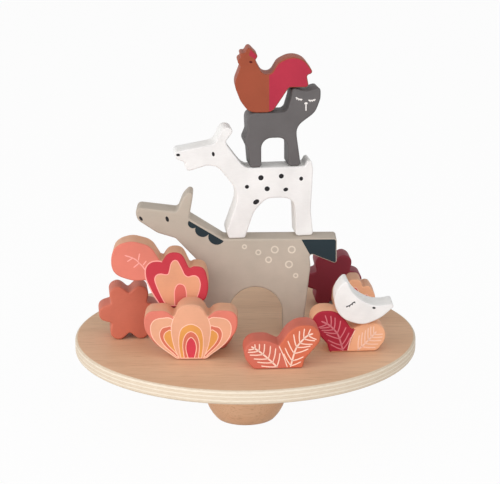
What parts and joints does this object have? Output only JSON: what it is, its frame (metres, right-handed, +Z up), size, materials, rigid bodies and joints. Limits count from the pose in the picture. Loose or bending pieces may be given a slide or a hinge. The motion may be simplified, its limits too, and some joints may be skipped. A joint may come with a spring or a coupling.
{
  "type": "balance game",
  "caption": "Round plywood board on a ball-shaped rocker foot, with stacked flat wooden animals, flowers, leaves, stars and a moon that a child sets out and balances on it.",
  "frame": {"origin": "centre of the foot's flat underside, where the board stands on a table", "axes": "+Z up through the foot and the plate; -Y the side that the painted faces look to; +X to the right seen from there"},
  "size_m": [0.25, 0.25, 0.2762],
  "materials": {
    "plate_plywood": "satin-varnished plywood with a pale layered edge",
    "foot_wood": "satin-varnished turned hardwood",
    "grey_paint": "matt warm grey paint on wood",
    "white_paint": "matt off-white paint on wood",
    "charcoal_paint": "matt charcoal paint on wood",
    "rust_paint": "matt rust-brown and crimson paint on wood",
    "salmon_paint": "matt salmon paint on wood with printed petals",
    "coral_paint": "matt coral paint on wood with printed veins",
    "orange_paint": "matt orange paint on wood with printed veins",
    "peach_paint": "matt peach paint on wood",
    "red_paint": "matt red and peach paint on wood with printed veins",
    "terracotta_paint": "matt terracotta paint on wood",
    "burgundy_paint": "matt burgundy paint on wood"
  },
  "bodies": {
    "board": {"plate": "plate_plywood", "rocker_foot": "foot_wood", "foot_dowel": "foot_wood"},
    "donkey": {"donkey": "grey_paint"},
    "dog": {"dog": "white_paint"},
    "cat": {"cat": "charcoal_paint"},
    "rooster": {"rooster": "rust_paint"},
    "lotus_flower": {"lotus_flower": "salmon_paint"},
    "coral_twin_leaf": {"coral_twin_leaf": "coral_paint"},
    "tulip_bush": {"tulip_bush": "salmon_paint"},
    "orange_twin_leaf": {"orange_twin_leaf": "orange_paint"},
    "peach_tulip": {"peach_tulip": "peach_paint"},
    "red_twin_leaf": {"red_twin_leaf": "red_paint"},
    "moon": {"moon": "white_paint"},
    "terracotta_star": {"terracotta_star": "terracotta_paint"},
    "burgundy_star": {"burgundy_star": "burgundy_paint"}
  },
  "joints": [
    {"name": "donkey_lift", "type": "slide", "parent": "board", "child": "donkey", "axis": [0, 0, 1], "range_m": [0, 0.06]},
    {"name": "dog_lift", "type": "slide", "parent": "donkey", "child": "dog", "axis": [0, 0, 1], "range_m": [0, 0.06]},
    {"name": "cat_lift", "type": "slide", "parent": "dog", "child": "cat", "axis": [0, 0, 1], "range_m": [0, 0.06]},
    {"name": "rooster_lift", "type": "slide", "parent": "cat", "child": "rooster", "axis": [0, 0, 1], "range_m": [0, 0.06]},
    {"name": "lotus_lift", "type": "slide", "parent": "board", "child": "lotus_flower", "axis": [0, 0, 1], "range_m": [0, 0.06]},
    {"name": "coral_leaf_lift", "type": "slide", "parent": "board", "child": "coral_twin_leaf", "axis": [0, 0, 1], "range_m": [0, 0.06]},
    {"name": "tulip_bush_lift", "type": "slide", "parent": "coral_twin_leaf", "child": "tulip_bush", "axis": [0, 0, 1], "range_m": [0, 0.06]},
    {"name": "orange_leaf_lift", "type": "slide", "parent": "board", "child": "orange_twin_leaf", "axis": [0, 0, 1], "range_m": [0, 0.06]},
    {"name": "peach_tulip_lift", "type": "slide", "parent": "board", "child": "peach_tulip", "axis": [0, 0, 1], "range_m": [0, 0.06]},
    {"name": "red_leaf_lift", "type": "slide", "parent": "board", "child": "red_twin_leaf", "axis": [0, 0, 1], "range_m": [0, 0.06]},
    {"name": "moon_lift", "type": "slide", "parent": "red_twin_leaf", "child": "moon", "axis": [0, 0, 1], "range_m": [0, 0.06]},
    {"name": "terracotta_star_lift", "type": "slide", "parent": "board", "child": "terracotta_star", "axis": [-0.8, 0, 0.6], "range_m": [0, 0.06]},
    {"name": "burgundy_star_lift", "type": "slide", "parent": "board", "child": "burgundy_star", "axis": [0, 0, 1], "range_m": [0, 0.06]}
  ]
}
